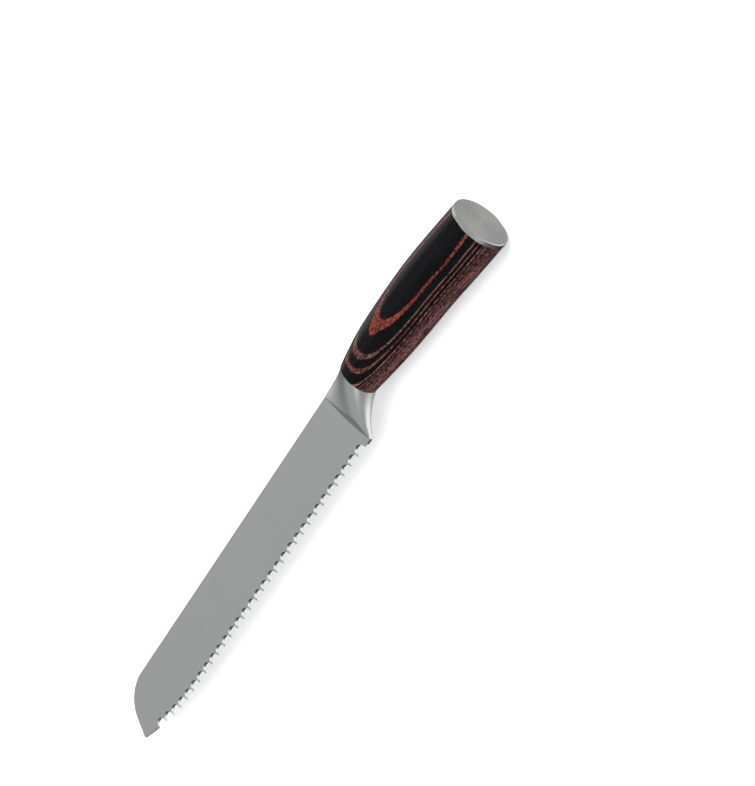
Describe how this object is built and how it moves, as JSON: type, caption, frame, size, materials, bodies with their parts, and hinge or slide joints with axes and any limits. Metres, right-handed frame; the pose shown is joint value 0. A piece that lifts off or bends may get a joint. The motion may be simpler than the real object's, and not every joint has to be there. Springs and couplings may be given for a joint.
{
  "type": "bread knife",
  "caption": "Bread knife with a scalloped stainless blade, steel bolster, curved oval handle of black and red dyed veneer laminate and a flat steel end cap.",
  "frame": {"origin": "bottom centre of the bounding box of the knife lying on its flat side, on the surface that it lies on", "axes": "+X from the tip to the butt, +Y from the cutting edge to the spine, +Z out of the blade's left face, up when the knife lies down"},
  "size_m": [0.3136, 0.0378, 0.024],
  "materials": {
    "blade_steel": "satin, fine grind across the blade",
    "bolster_steel": "satin",
    "cap_steel": "brushed face with a polished rim",
    "rod_steel": "drawn and turned, unpolished",
    "fastener_steel": "zinc plated",
    "resin": "cured epoxy",
    "veneer_black": "black dyed birch, resin filled, polished",
    "veneer_red": "red dyed birch, resin filled, polished",
    "veneer_brown": "brown dyed birch, resin filled, polished"
  },
  "bodies": {
    "root": {"blade": "blade_steel", "bolster": "bolster_steel", "tang_rod": "rod_steel", "resin_bedding": "resin", "clamp_washer": "fastener_steel", "clamp_nut": "fastener_steel", "cap_socket": "rod_steel", "end_cap": "cap_steel", "veneer_01": "veneer_brown", "veneer_02": "veneer_black", "veneer_03": "veneer_red", "veneer_04": "veneer_black", "veneer_05": "veneer_brown", "veneer_06": "veneer_black", "veneer_07": "veneer_red", "veneer_08": "veneer_black", "veneer_09": "veneer_brown", "veneer_10": "veneer_black", "veneer_11": "veneer_red", "veneer_12": "veneer_black", "veneer_13": "veneer_brown", "veneer_14": "veneer_black", "veneer_15": "veneer_red", "veneer_16": "veneer_black", "veneer_17": "veneer_brown", "veneer_18": "veneer_black", "veneer_19": "veneer_red", "veneer_20": "veneer_black", "veneer_21": "veneer_brown", "veneer_22": "veneer_black", "veneer_23": "veneer_red", "veneer_24": "veneer_black"}
  },
  "joints": []
}
